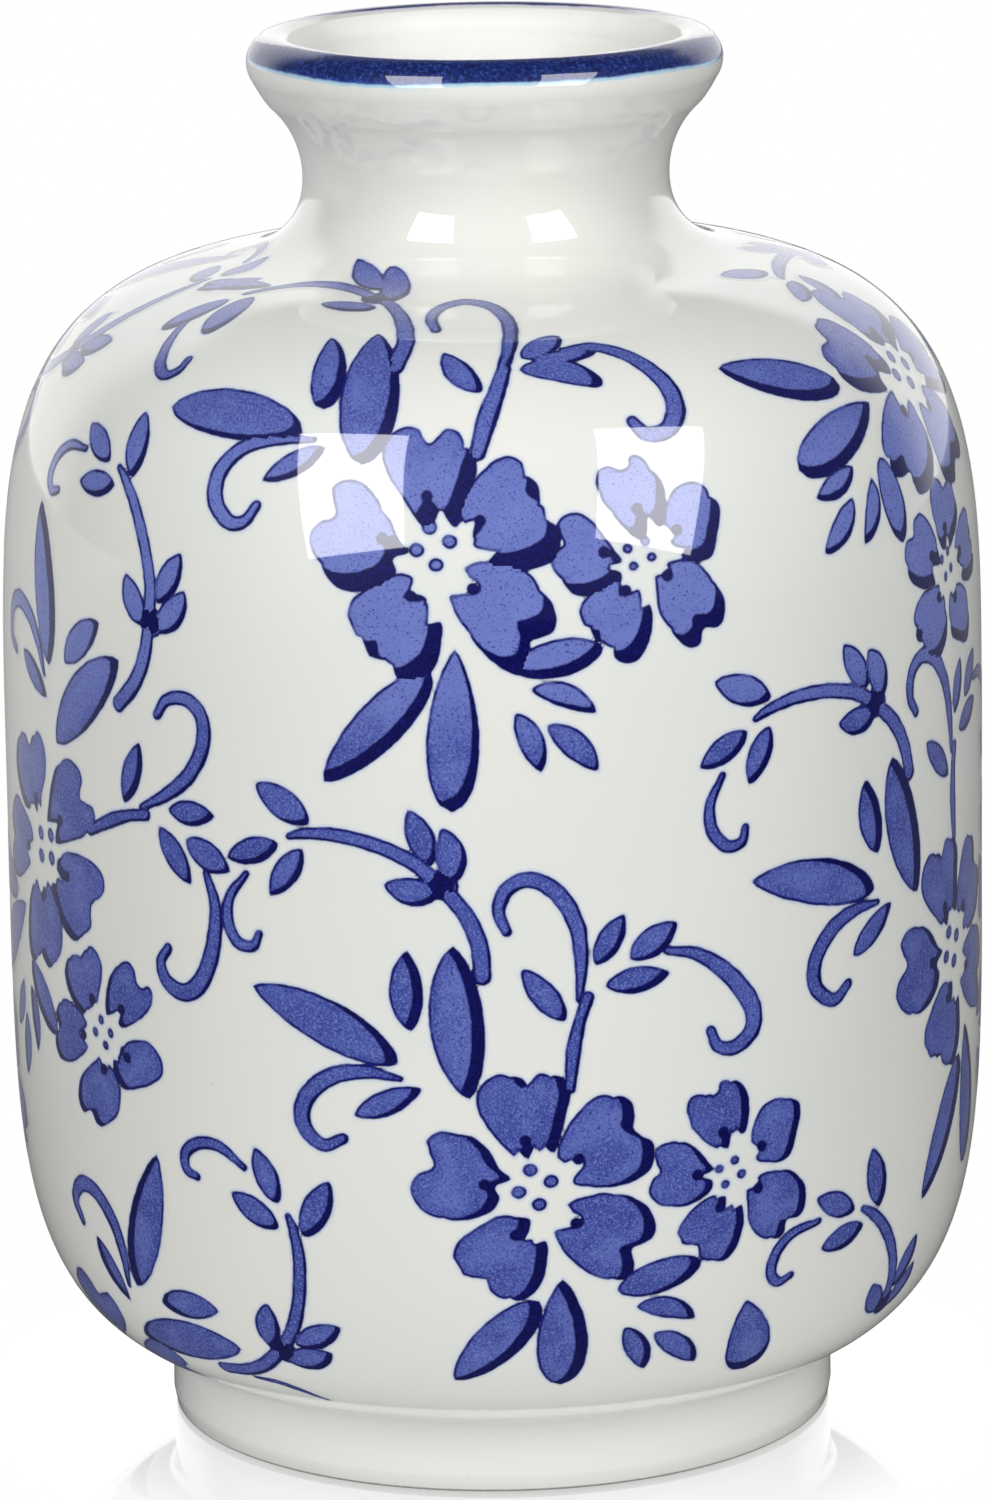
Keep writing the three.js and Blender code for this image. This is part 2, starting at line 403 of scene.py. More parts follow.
def side_cluster():
    """The same spray with its two long leaves swung over."""
    return cluster((-5.3, -46.9), (15.2, -40.1))


def foot_leaf():
    """A leaf by itself."""
    return [leaf((1, -8.5), (-3.6, 9), 9.5, 0, 0.36, 1.3)]


def foot_arc():
    """A short bowed stroke."""
    return [stroke([(-6, 2), (0, 1.2), (7, -3)], [1.0, 1.8, 1.0])]


def fan():
    """Four leaves and a curl that spread from one point, the origin."""
    return [
        leaf((-3.2, 2.6), (-30.4, 14.7), 8.6, -0.03, 0.46, 1.4),
        leaf((9, -3.5), (6.5, 24), 9.8, 0.03, 0.5, 1.4),
        leaf((-1, 8.5), (-1.5, 23), 6.3, 0.04),
        leaf((-11.5, -7), (0.8, -1.6), 4.8),
        stroke(
            [(-3, 0), (-9, 1), (-15, 0), (-20, -4), (-21, -9), (-17.5, -12.7), (-13.5, -11.3)],
            [1.4, 2.8, 3.5, 3.6, 3.4, 2.8, 2.2],
        ),
    ]


def shoulder_fan():
    """The fan as it is painted on the front of the shoulder."""
    return [
        leaf((-3.1, 2.3), (-31.7, 4.3), 9.5, -0.05, 0.5, 1.2),
        leaf((7.7, -3), (4.6, 25.5), 10.6, -0.03, 0.45, 1.3),
        leaf((-0.4, 6.8), (-4.5, 23.5), 6.4, -0.05, 0.4, 1.2),
        leaf((1.5, 0), (-9.5, -6.7), 4.6),
        stroke(
            [(-0.9, 1.2), (-7.5, 0.8), (-14.1, -1), (-18.2, -5.5), (-18.4, -10.5), (-15.5, -14), (-12.2, -14)]
            + [(-10, -11)],
            [1.4, 2.4, 3.2, 3.6, 3.6, 3.2, 2.6, 2.2],
        ),
    ]


def vine():
    """A stem with a leafy knot, the origin, and leaves and a curl at its far end."""
    return [
        stroke([(8, -17), (7.5, -11.5), (5.5, -6.5), (2, -2), (0, 0)], [3.4, 3.6, 3.2, 2.6]),
        stroke([(0, 0), (-4, 3.2), (-10, 5.8), (-17, 7.3), (-23, 7.2), (-26, 6.5)], [3.2, 3.0, 2.8, 1.6]),
        leaf((-0.3, 2.5), (-4.5, 12.5), 5.2),
        leaf((2.5, -1), (1.2, 9.3), 5.6, -0.1),
        leaf((1, -2.4), (-9, -0.8), 5.2, 0.05),
        knot((0.9, -0.6), 2.8),
        leaf((-22, 9), (-32.5, 15.5), 5.8),
        leaf((-28, 5), (-38.5, 1.5), 5),
        leaf((-23.5, 4.5), (-30, -4.5), 5),
        stroke(
            [(-34.5, -1), (-38, -5.5), (-38.5, -10), (-36.5, -13.5), (-33.5, -13.8), (-32.2, -11.5)],
            [1.6, 2.6, 2.8, 2.4, 1.8],
        ),
    ]


def short_vine():
    """The same without the stem below its knot."""
    return vine()[1:]


def shoulder_vine():
    """The vine as it is painted on the front of the shoulder."""
    return [
        stroke([(9.6, -25), (10.2, -18), (8.4, -11.5), (4.6, -5.5), (0, -2)], [3.2, 3.4, 3.0, 2.6]),
        stroke(
            [(0, -2), (-5.9, 1.3), (-12.4, 2.5), (-18.4, 1.2), (-22.4, -2.4), (-24.8, -6.5)],
            [2.8, 3.0, 3.2, 3.0, 2.4, 1.8],
        ),
        leaf((-0.6, 2), (-11, 11), 5.2),
        leaf((2, -3.5), (-3.2, 10), 5.8, -0.1, 0.5, 1.1),
        leaf((1.4, -6.6), (-9.8, -6), 4.4, 0, 0.45, 1.1),
        knot((-0.4, -1.6), 2.9),
        leaf((-25.2, -1.7), (-40.2, -6.5), 6.2, 0, 0.6, 1.1),
        leaf((-32.9, -9.5), (-38.1, -22), 5.4, 0, 0.5, 1.1),
        leaf((-28.1, -7), (-26.6, -21), 6.3, 0, 0.5, 1.2),
        stroke(
            [(-40, -17.5), (-37.8, -24.5), (-35.4, -29), (-32.5, -31), (-30.1, -29.5), (-29.6, -27)],
            [1.8, 2.6, 2.8, 2.6, 2.2, 2.0],
        ),
    ]


def hook():
    """A stem that ends in a hook, with leaves and a long curl beside it. The origin is the hook's foot."""
    return [
        stroke([(-1.6, -15.5), (-0.9, -8.5), (0.2, -3.5), (1.7, 0.7)], [2.2, 3.0, 2.5, 2.6]),
        stroke(
            [(0.2, 0.5), (0.6, 7.5), (-0.3, 14), (-3.5, 19.5), (-8, 22), (-12, 20.5), (-13.6, 16.5)]
            + [(-12.3, 13)],
            [1.6, 2.8, 3.3, 3.4, 3.2, 3.0, 2.6, 2.2],
        ),
        leaf((-2.1, -3.4), (-9.9, 6.3), 5),
        leaf((3, 6.2), (8.3, 15.2), 4.8),
        leaf((9, 7), (18, 12.8), 5.5),
        leaf((4.6, 2.6), (16.5, 3.9), 5),
        stroke(
            [(16, 8), (22, 6.5), (28, 2), (32, -3.5), (32.3, -8), (29, -10.8), (25.5, -10.3), (24, -7.3)],
            [1.8, 2.8, 3.6, 3.9, 3.6, 3.2, 2.6, 2.2],
        ),
    ]


def shoulder_hook():
    """The hook as it is painted on the front of the shoulder."""
    return [
        stroke([(-3.7, -15), (-2.1, -8.5), (-0.4, -3.5), (1.1, 1.5)], [3.0, 3.8, 3.4, 3.0]),
        stroke(
            [(0.7, 1.5), (2, 8.5), (2.1, 15.5), (-0.7, 21.8), (-5.9, 24.2), (-10.1, 21.5), (-11.4, 17)]
            + [(-10, 12.5)],
            [2.0, 2.8, 3.0, 3.2, 3.2, 3.0, 2.6, 2.2],
        ),
        leaf((-2.6, -3.5), (-9.9, 6), 5, 0.05),
        leaf((3.8, 4.2), (11.5, 9.8), 5, 0, 0.5, 1.1),
        leaf((3.6, 1.3), (17.6, -3), 5.6, 0.12, 0.5, 1.1),
        leaf((5.4, 3.5), (17.6, 5), 3.8),
        stroke(
            [(12.6, 5.7), (18.9, 6.3), (25.2, 3), (29.4, -3), (30, -8.5), (27.5, -12.3), (23.9, -12.8)]
            + [(21.9, -10.3)],
            [2.2, 2.8, 3.4, 3.8, 3.8, 3.4, 3.0, 2.4],
        ),
    ]


# Where the sprays lie: (design, x, y, turn in degrees, the side that is painted dark as (x, y) in mm).
PLACES = [
    (low_cluster, 6.1, -55.4, 0, (2.2, -0.4)),
    (fan, -14, -36, 0, (1.9, -0.3)),
    (vine, -10.5, -0.5, 0, (1.0, -0.9)),
    (hook, 14, -22.5, 0, (1.0, -0.8)),
    (cluster, -10.2, 57.6, -3, (2.2, -3.2)),
    (shoulder_fan, -33, 74, 0, (1.9, -1.2)),
    (shoulder_vine, -35, 115, 0, (0.6, -0.9)),
    (shoulder_hook, 2, 88.5, 0, (1.2, -0.4)),
    (cluster, 102.7, -27, 11, (2.2, -0.5)),
    (fan, 78.8, -12.3, 12, (2.2, 0.3)),
    (vine, 74.2, 23.5, 12, (1.0, -0.9)),
    (hook, 102.5, 8.5, 11, (1.0, -0.8)),
    (side_cluster, 105.2, 78.4, -94, (0.8, -3.2)),
    (cluster, -99.3, -5.5, -57, (-1.8, -1.2)),
    (fan, -96.3, 23.5, -53, (1.8, 0.5)),
    (vine, -65.5, 42, -50, (1.0, -0.9)),
    (hook, -68.5, 7.2, -59, (0.9, -0.6)),
    (cluster, -99, -107, -87, (-1.2, -1.0)),
    (fan, -80.2, -86.5, -87, (-1.4, -0.6)),
    (vine, -43, -89, -85, (1.0, -0.9)),
    (foot_arc, -47, -101.5, 0, (0.4, 0)),
    (foot_leaf, 51, -90, 0, (0.9, -2.6)),
    (short_vine, 89, -91, -42, (1.0, -0.6)),
    (low_cluster, -257, 78, -120, (-1.6, -1.8)),
]

# Round the back: whole sprays, as (x, y, turn in degrees, dark side).
WHOLE_SPRAYS = [
    (-183, 69, -92, (0.8, -2.2)),
    (196, -64, -20, (2.0, -0.8)),
    (196, 57, 14, (2.0, -1.2)),
    (-283, -29, 12, (2.2, -0.4)),
    (-172, -62, 12, (2.0, -0.6)),
]
# What a whole spray is made of, as (design, how far to its right, how far up).
SPRAY_PARTS = [(cluster, 0, 0), (fan, -20.1, 19.4), (vine, -16.6, 54.9), (hook, 7.9, 32.9)]


def all_places():
    """The places above, and those that the parts of the whole sprays come to."""
    places = list(PLACES)
    for x, y, degrees, dark_side in WHOLE_SPRAYS:
        for design, right, up in SPRAY_PARTS:
            move = turned([(right, up)], degrees)[0]
            squeeze = float(outline_at(y + move[1])[0] / BELLY_RADIUS)
            places.append((design, x + move[0] / squeeze, y + move[1], degrees, dark_side))
    return places


AROUND = 2 * math.pi * BELLY_RADIUS
CELL = AROUND / 1120
ROWS_BELOW = 225
ROWS_ABOVE = 256
LOWEST_PAINT = -ROWS_BELOW * CELL
MARGIN = 1.6  # how far the shapes' surroundings are worked out, in mm
KINDS = ["flower", "leaf", "stem"]
LEAF_SHADE = 2.6  # how far a leaf's shade reaches in from its edge, at most
LEAF_SHADE_SHARE = 0.15  # and for a small one, as a share of its length
STEM_SHADE = 0.95
PETAL_SHADE = 1.2  # how far a petal's shade is moved, as a share of the dark side's length
FULL_PETAL = 18  # a petal of this size has its whole shade, and a smaller one less


def gaps(points, a, b):
    """Each point's distance from each side a to b, and where along the side it is nearest (0 to 1)."""
    side = b - a
    to = points[:, None] - a[None]
    share = np.clip((to * side).sum(2) / ((side * side).sum(1) + 1e-12), 0, 1)
    gap = to - share[..., None] * side
    return np.sqrt((gap * gap).sum(2)), share


def depth_in_outline(points, corners):
    """How deep the points lie inside a closed outline; negative outside it."""
    a, b = corners, np.roll(corners, -1, 0)
    side = b - a
    distance = gaps(points, a, b)[0].min(1)
    x, y = points[:, 0][:, None], points[:, 1][:, None]
    crosses = ((a[:, 1] > y) != (b[:, 1] > y)) & (
        x < side[:, 0] * (y - a[:, 1]) / (side[:, 1] + 1e-12) + a[:, 0]
    )
    return np.where(crosses.sum(1) % 2 == 1, distance, -distance)


def depth_in_stroke(points, line):
    """How deep the points lie inside a line whose width is its third column; negative outside it."""
    a, b = line[:-1], line[1:]
    distance, share = gaps(points, a[:, :2], b[:, :2])
    half = 0.5 * (a[:, 2] + share * (b - a)[:, 2])
    return (half - distance).max(1)


def depths(shape, points, dark_side):
    """Depth in the shape with its shade, and depth in the shade.

    A petal's shade is the same shape in navy, moved to one side and lying behind the lighter one, and the
    nick at its base. A leaf's or a stem's shade lies inside it, along the same side.
    """
    dark_side = np.array(dark_side)
    towards = dark_side / np.linalg.norm(dark_side)
    if "line" in shape:
        line = smooth_line(shape["line"])
        return depth_in_stroke(points, line), -depth_in_stroke(points + STEM_SHADE * towards, line)
    size = np.ptp(shape["outline"], axis=0).max()
    inside = depth_in_outline(points, shape["outline"])
    if "drop" not in shape:
        reach = min(LEAF_SHADE, LEAF_SHADE_SHARE * size)
        return inside, -depth_in_outline(points + reach * towards, shape["outline"])
    move = PETAL_SHADE * dark_side * np.clip(size / FULL_PETAL, 0.2, 1)
    centre, radius = shape["drop"]
    drop = radius - np.linalg.norm(points - centre, axis=1)
    shade = np.maximum(depth_in_outline(points - move, shape["outline"]), drop)
    return np.maximum(inside, shade), np.maximum(-inside, drop)


def place(shape, x, y, degrees):
    """The shape on the unrolled face, in true millimetres around its own middle, and what x is scaled by.

    The face is narrower at the shoulder than at the widest level, so lengths around it are stretched there.
    """
    key = "line" if "line" in shape else "outline"
    spots = shape[key][:, :2]
    middle = turned(spots.mean(0)[None], degrees)[0] + (0, y)
    squeeze = float(outline_at(middle[1])[0] / BELLY_RADIUS)
    moved = turned(spots, degrees) + (x * squeeze, y)
    placed = dict(shape)
    placed[key] = np.column_stack([moved, shape[key][:, 2:]])
    if "drop" in shape:
        placed["drop"] = (turned([shape["drop"][0]], degrees)[0] + (x * squeeze, y), shape["drop"][1])
    return placed, squeeze


def paint_sheet():
    """The painting on a grid over the unrolled face: depth, depth in the dark, tone, and kind of shape."""
    columns = round(AROUND / CELL)
    rows = ROWS_BELOW + ROWS_ABOVE + 1
    depth = np.full((rows, columns), -9.0)
    dark = np.full((rows, columns), -9.0)
    tone = np.zeros((rows, columns))
    kind = np.full((rows, columns), -1)
    count = 0
    for design, x, y, degrees, dark_side in all_places():
        for shape in design():
            count += 1
            placed, squeeze = place(shape, x, y, degrees)
            key = "line" if "line" in placed else "outline"
            low = placed[key][:, :2].min(0) - MARGIN - 2
            high = placed[key][:, :2].max(0) + MARGIN + 2
            i = np.arange(math.floor(low[0] / squeeze / CELL), math.ceil(high[0] / squeeze / CELL) + 1)
            j = np.arange(
                max(0, math.floor((low[1] - LOWEST_PAINT) / CELL)),
                min(rows, math.ceil((high[1] - LOWEST_PAINT) / CELL) + 1),
            )
            if len(j) == 0:
                continue
            grid_x, grid_y = np.meshgrid(i * CELL * squeeze, LOWEST_PAINT + j * CELL)
            spots = np.stack([grid_x.ravel(), grid_y.ravel()], 1)
            inside, shade = (a.reshape(grid_x.shape) for a in depths(placed, spots, dark_side))
            cells = np.ix_(j, i % columns)
            wins = inside > depth[cells]
            for sheet, value in ((depth, inside), (dark, shade)):
                sheet[cells] = np.where(wins, value, sheet[cells])
            own_tone = 0.5 + 0.5 * math.sin(count * 2.4)
            tone[cells] = np.where(wins, own_tone, tone[cells])
            kind[cells] = np.where(wins, KINDS.index(shape["kind"]), kind[cells])
    return depth, dark, tone, kind


# ------------------------------
# Meshes.

SEGMENTS = 320


def make_object(name, points, faces, loop_normals, attributes=None):
    """An object from points in mm. The attributes are values at its points, for its material."""
    mesh = bpy.data.meshes.new(name)
    mesh.from_pydata((np.asarray(points) * MM).tolist(), [], faces)
    mesh.update()
    mesh.normals_split_custom_set(np.asarray(loop_normals).tolist())
    for key, values in (attributes or {}).items():
        mesh.attributes.new(key, "FLOAT", "POINT").data.foreach_set("value", np.asarray(values, np.float32))
    obj = bpy.data.objects.new(name, mesh)
    bpy.context.scene.collection.objects.link(obj)
    return obj


def quads(low, high, count):
    """The faces between two rings of count points, given the number of each ring's first point."""
    columns = np.arange(count)
    after = np.roll(columns, -1)
    return np.stack([low + columns, low + after, high + after, high + columns], 1).tolist()


def rows_between(start, end, longest=1.0, sharpest=2.5):
    """Lengths along the outline from start to end: closer together where the outline bends."""
    run = np.linspace(start, end, 3000)
    ahead, rise = np.subtract(outline_at(run + 0.15), outline_at(run - 0.15))
    slope = np.unwrap(np.arctan2(rise, ahead))
    cost = np.abs(np.diff(run)) / longest + np.degrees(np.abs(np.diff(slope))) / sharpest
    total = np.concatenate([[0], np.cumsum(cost)])
    return np.interp(np.linspace(0, total[-1], max(2, math.ceil(total[-1]) + 1)), total, run)


ANGLES = np.linspace(0, 2 * math.pi, SEGMENTS, endpoint=False)


def skin_strip(start, end, longest=1.0):
    """A smooth strip of the glazed face."""
    theta, run = np.meshgrid(ANGLES, rows_between(start, end, longest))
    return skin_point(theta, run), skin_normal(theta, run)


def ring(radius, z):
    """Points around the axis, or directions if the radius and z are parts of a direction."""
    return np.stack([radius * np.sin(ANGLES), -radius * np.cos(ANGLES), z + 0 * ANGLES], 1)


def plain_strip(*spots):
    """A smooth strip through (radius, z) spots that are not on the glazed face."""
    path = np.array(spots, float)
    way = np.gradient(path, axis=0)
    way /= np.linalg.norm(way, axis=1, keepdims=True)
    return (
        np.stack([ring(r, z) for r, z in path]),
        np.stack([ring(rise, -ahead) for ahead, rise in way]),
    )


def flat_normals(low, high):
    """One normal for each column of a flat ring-shaped face."""
    normal = np.cross(np.roll(low, -1, 0) - low, high - low)
    return normal / (np.linalg.norm(normal, axis=1, keepdims=True) + 1e-12)


def lathe(name, strips, closed=True, lining=None):
    """A solid of revolution. Strips follow one another; those that don't touch are joined by a flat face.

    A solid that reaches the axis isn't closed: its first and last rings get flat caps instead. The faces of
    strip number lining are marked for the object's second material.
    """
    points, faces, normals, lined = [], [], [], []
    columns = np.arange(SEGMENTS)
    after = np.roll(columns, -1)

    def band(low, high, low_normals, high_normals):
        faces.extend(quads(low, high, SEGMENTS))
        normals.append(
            np.stack([low_normals, low_normals[after], high_normals[after], high_normals], 1).reshape(-1, 3)
        )

    ends = []
    total = 0
    for number, (spots, given) in enumerate(strips):
        touching = bool(ends) and np.abs(ends[-1][1] - spots[0]).max() < 1e-3
        skip = 1 if touching else 0
        index = [ends[-1][0]] if touching else []
        index += [total + SEGMENTS * i for i in range(len(spots) - skip)]
        if ends and not touching:
            face = flat_normals(ends[-1][1], spots[0])
            band(ends[-1][0], index[0], face, face)
        start = len(faces)
        for i in range(len(spots) - 1):
            band(index[i], index[i + 1], given[i], given[i + 1])
        if number == lining:
            lined = [start, len(faces)]
        points.append(spots[skip:].reshape(-1, 3))
        total += SEGMENTS * (len(spots) - skip)
        ends.append((index[-1], spots[-1]))
    first = strips[0][0][0]
    if closed:
        face = flat_normals(ends[-1][1], first)
        band(ends[-1][0], 0, face, face)
    else:
        for start, spots, flip in ((0, first, -1), (ends[-1][0], ends[-1][1], 1)):
            faces.append((start + columns)[::flip].tolist())
            up = 1 if spots[0][2] > HEIGHT / 2 or flip == 1 else -1
            normals.append(np.tile((0, 0, up), (SEGMENTS, 1)))
    obj = make_object(name, np.vstack(points), faces, np.vstack(normals))
    if lined:
        slots = np.zeros(len(faces), np.int32)
        slots[lined[0] : lined[1]] = 1
        obj.data.polygons.foreach_set("material_index", slots)
    return obj


RUN_LINING = RUN_CREST + 3  # inside the lip, where the lining's duller glaze starts


def build_sections():
    """For each node, the pieces it is made of: the glazed sections, and the bare edge of the foot."""
    out_foot, in_foot = run_outside(FOOT_JOINT_Z), float(RUN[-1])
    out_widest, in_widest = 0.0, run_inside(WIDEST_Z)
    out_neck, in_neck = run_outside(NECK_JOINT_Z), run_inside(NECK_JOINT_Z)
    out_lip, in_lip = run_outside(LIP_JOINT_Z), run_inside(LIP_JOINT_Z)
    glaze_edge = (FOOT_INNER_RADIUS, GLAZE_LINE_Z)
    contact = bezier((FOOT_CONTACT_RADIUS, 0), (60.4, 0), (FOOT_RADIUS - 0.5, GLAZE_LINE_Z), 12)
    foot_inside = plain_strip((FOOT_INNER_RADIUS, FOOT_JOINT_Z), (FOOT_INNER_RADIUS, 7), glaze_edge)
    floor_top = plain_strip((FLOOR_RADIUS, FOOT_JOINT_Z), (30, FOOT_JOINT_Z - 0.1), (1, FOOT_JOINT_Z - 0.2))
    floor_rim = plain_strip((FLOOR_RADIUS, FLOOR_UNDERSIDE_Z), (FLOOR_RADIUS, FOOT_JOINT_Z))
    floor_low = plain_strip(
        (1, FLOOR_UNDERSIDE_Z + 0.4), (30, FLOOR_UNDERSIDE_Z + 0.3), (FLOOR_RADIUS, FLOOR_UNDERSIDE_Z)
    )
    clay_strips = [
        plain_strip((FOOT_INNER_RADIUS, 0.35), (FOOT_INNER_RADIUS + 0.35, 0)),
        plain_strip((FOOT_INNER_RADIUS + 0.35, 0), (55, 0), (FOOT_CONTACT_RADIUS, 0)),
        plain_strip(*contact),
    ]
    foot_clay = clay_strips + [plain_strip(glaze_edge, (FOOT_INNER_RADIUS, 0.35))]
    lower = [skin_strip(out_foot, out_widest), skin_strip(in_widest, in_foot, 2)]
    upper = [skin_strip(out_widest, out_neck), skin_strip(in_neck, in_widest, 2)]
    collar = [skin_strip(out_neck, out_lip, 0.8), skin_strip(in_lip, in_neck)]
    rim = [skin_strip(out_lip, RUN_LINING, 0.5), skin_strip(RUN_LINING, in_lip, 0.5)]
    return {
        "foot_ring": [
            lathe("foot_bare_clay", foot_clay),
            lathe("foot_glazed", [skin_strip(RUN[0], out_foot), foot_inside]),
        ],
        "floor_slab": [lathe("floor_glazed", [floor_low, floor_rim, floor_top], closed=False)],
        "lower_belly": [lathe("belly_lower", lower, lining=1)],
        "upper_belly_and_shoulder": [lathe("belly_upper", upper, lining=1)],
        "neck_collar": [lathe("neck", collar, lining=1)],
        "rolled_lip": [lathe("lip", rim, lining=1)],
    }


# ------------------------------
# Thin painted pieces.

PAINT_LIFT = 0.03  # paint lies this far in front of the glazed face
HALO = 0.8  # the soft blue edge around a shape, in mm


def cut_sheet(depth, level):
    """Triangles and quads that cover a grid where depth is over level, cut along that line.

    Gives the corners as (row, column) numbers with a fraction, the faces, and the cell each face came from.
    """
    columns = depth.shape[1]
    inside = depth > level
    corners, key_of, faces, cells = [], {}, [], []

    def node(j, i):
        key = (j, i % columns)
        if key not in key_of:
            key_of[key] = len(corners)
            corners.append((j, i % columns))
        return key_of[key]

    def crossing(a, b):
        key = (min(a, b), max(a, b))
        if key not in key_of:
            da, db = depth[key[0][0], key[0][1] % columns], depth[key[1][0], key[1][1] % columns]
            t = min(max((level - da) / (db - da), 0.02), 0.98)
            key_of[key] = len(corners)
            corners.append(tuple(key[0][k] + t * (key[1][k] - key[0][k]) for k in (0, 1)))
        return key_of[key]

    near = inside[:-1] | inside[1:]
    near = near | np.roll(near, -1, 1)
    for j, i in np.argwhere(near).tolist():
        square = [(j, i), (j, i + 1), (j + 1, i + 1), (j + 1, i)]
        within = [bool(inside[a, b % columns]) for a, b in square]
        polygon = []
        for k in range(4):
            a, b = square[k], square[(k + 1) % 4]
            if within[k]:
                polygon.append(node(*a))
            if within[k] != within[(k + 1) % 4]:
                polygon.append(crossing(a, b))
        if len(polygon) > 2:
            faces.append(polygon)
            cells.append((j, i))
    return np.array(corners, float), faces, np.array(cells)


def on_sheet(sheet, corners):
    """Values of a grid at corners with fractions, wrapping round the vase."""
    rows, columns = sheet.shape
    j, i = np.minimum(np.floor(corners[:, 0]).astype(int), rows - 2), np.floor(corners[:, 1]).astype(int)
    fj, fi = corners[:, 0] - j, corners[:, 1] - i
    left = sheet[j, i % columns] * (1 - fj) + sheet[j + 1, i % columns] * fj
    right = sheet[j, (i + 1) % columns] * (1 - fj) + sheet[j + 1, (i + 1) % columns] * fj
    return left * (1 - fi) + right * fi


def build_painting():
    """Flowers, leaves and stems, each as an upper and a lower piece, from the sheet of painting."""
    depth, dark, tone, kind = paint_sheet()
    corners, faces, cells = cut_sheet(depth, -HALO)
    sheets = {"depth": depth, "dark": dark, "tone": tone}
    values = {key: on_sheet(sheet, corners) for key, sheet in sheets.items()}
    theta = corners[:, 1] * CELL / BELLY_RADIUS
    run = LOWEST_PAINT + corners[:, 0] * CELL
    points = skin_point(theta, run, PAINT_LIFT)
    normals = skin_normal(theta, run)
    best = np.full(len(cells), -99.0)
    face_kind = np.zeros(len(cells), int)
    for dj, di in ((0, 0), (0, 1), (1, 0), (1, 1)):
        spot = (cells[:, 0] + dj, (cells[:, 1] + di) % depth.shape[1])
        deeper = depth[spot] > best
        best = np.where(deeper, depth[spot], best)
        face_kind = np.where(deeper, kind[spot], face_kind)
    upper = cells[:, 0] >= ROWS_BELOW
    painted = []
    for number, name in enumerate(("flowers", "leaves", "stems")):
        for side, half in ((upper, "upper"), (~upper, "lower")):
            chosen = np.flatnonzero((face_kind == number) & side)
            used = sorted({corner for f in chosen for corner in faces[f]})
            renumber = {old: new for new, old in enumerate(used)}
            own_faces = [[renumber[c] for c in faces[f]] for f in chosen]
            own_normals = normals[[c for f in chosen for c in faces[f]]]
            own_values = {key: value[used] for key, value in values.items()}
            painted.append(
                make_object(f"painted_{name}_{half}", points[used], own_faces, own_normals, own_values)
            )
    return painted


BAND_LOW_Z = 249.3  # the lip band's lower edge outside
BAND_ROWS = 44
BAND_COLUMNS = 640


def build_lip_band():
    """The cobalt brushed over the lip's crest, with its uneven lower edge outside. On the left and right it
    stops short of the crest, and the white glaze left there is a painted sheen.
    """
    theta = np.linspace(0, 2 * math.pi, BAND_COLUMNS, endpoint=False)
    outer = run_outside(BAND_LOW_Z) + 0.3 * np.sin(3 * theta + 0.5) + 0.18 * np.sin(7 * theta + 2)
    # Painted reflection: the band's reach over the crest is set by the side it faces. It runs just over the
    # crest at the front and well inside at the back, but stops short of the crest on the left and right, so
    # that the white glaze there stands in for a sheen.
    towards_back = -np.cos(theta)
    past_crest = np.interp(towards_back, [-1, -0.45, -0.05, 0.15, 0.6, 1], [0.3, 0.1, -2.3, -2.3, 2.3, 2.9])
    inner = RUN_CREST + past_crest + 0.15 * np.sin(7 * theta + 1)
    share = np.linspace(0, 1, BAND_ROWS)[:, None]
    run = outer + share * (inner - outer)
    angle = theta + 0 * run
    depth = np.minimum(run - outer, inner - run) - HALO
    points = skin_point(angle, run, PAINT_LIFT).reshape(-1, 3)
    normals = skin_normal(angle, run).reshape(-1, 3)
    faces = []
    for row in range(BAND_ROWS - 1):
        faces.extend(quads(row * BAND_COLUMNS, (row + 1) * BAND_COLUMNS, BAND_COLUMNS))
    values = {"depth": depth.ravel(), "across": (run - RUN_CREST).ravel()}
    return make_object("painted_lip_band", points, faces, normals[np.array(faces).ravel()], values)


# ------------------------------
# Materials.


class Nodes:
    """Short ways to make and link shader nodes, in a new material or in the world."""

    def __init__(self, name, world=None):
        self.material = world or bpy.data.materials.new(name)
        self.material.use_nodes = True
        self.tree = self.material.node_tree
        if world:
            self.tree.nodes.clear()
        self.shader = self.tree.nodes.get("Principled BSDF")
        coordinates = self.tree.nodes.new("ShaderNodeTexCoord").outputs
        self.place = coordinates["Generated" if world else "Object"]

    def add(self, kind, inputs=None, **settings):
        node = self.tree.nodes.new(kind)
        for key, value in settings.items():
            setattr(node, key, value)
        for key, value in (inputs or {}).items():
            self.set(node.inputs[key], value)
        return node

    def surface(self, **values):
        """Sets the shader's sockets, whose names have _ for a space here."""
        for key, value in values.items():
            self.set(self.shader.inputs[key.replace("_", " ")], value)

    def set(self, socket, value):
        if isinstance(value, bpy.types.NodeSocket):
            self.tree.links.new(value, socket)
        else:
            socket.default_value = value

    def math(self, operation, a, b):
        return self.add("ShaderNodeMath", {0: a, 1: b}, operation=operation).outputs[0]

    def times(self, a, b):
        return self.math("MULTIPLY", a, b)

    def plus(self, a, b):
        return self.math("ADD", a, b)

    def ramp(self, value, low, high, to_low=0.0, to_high=1.0):
        """Runs smoothly from to_low to to_high as the value goes from low to high."""
        inputs = {"Value": value, 1: low, 2: high, 3: to_low, 4: to_high}
        return self.add("ShaderNodeMapRange", inputs, interpolation_type="SMOOTHSTEP").outputs[0]

    def noise(self, size, detail=2.0, roughness=0.5):
        """Noise with features about this many millimetres across."""
        inputs = {"Vector": self.place, "Scale": 1 / (size * MM), "Detail": detail, "Roughness": roughness}
        return self.add("ShaderNodeTexNoise", inputs).outputs["Fac"]

    def mix(self, share, a, b):
        node = self.add("ShaderNodeMix", data_type="RGBA")
        self.set(node.inputs["Factor"], share)
        self.set(node.inputs[6], a)
        self.set(node.inputs[7], b)
        return node.outputs[2]

    def attribute(self, name):
        return self.add("ShaderNodeAttribute", attribute_name=name).outputs["Fac"]

    def bump(self, height, strength, distance):
        inputs = {"Height": height, "Strength": strength, "Distance": distance * MM}
        self.set(self.shader.inputs["Normal"], self.add("ShaderNodeBump", inputs).outputs["Normal"])


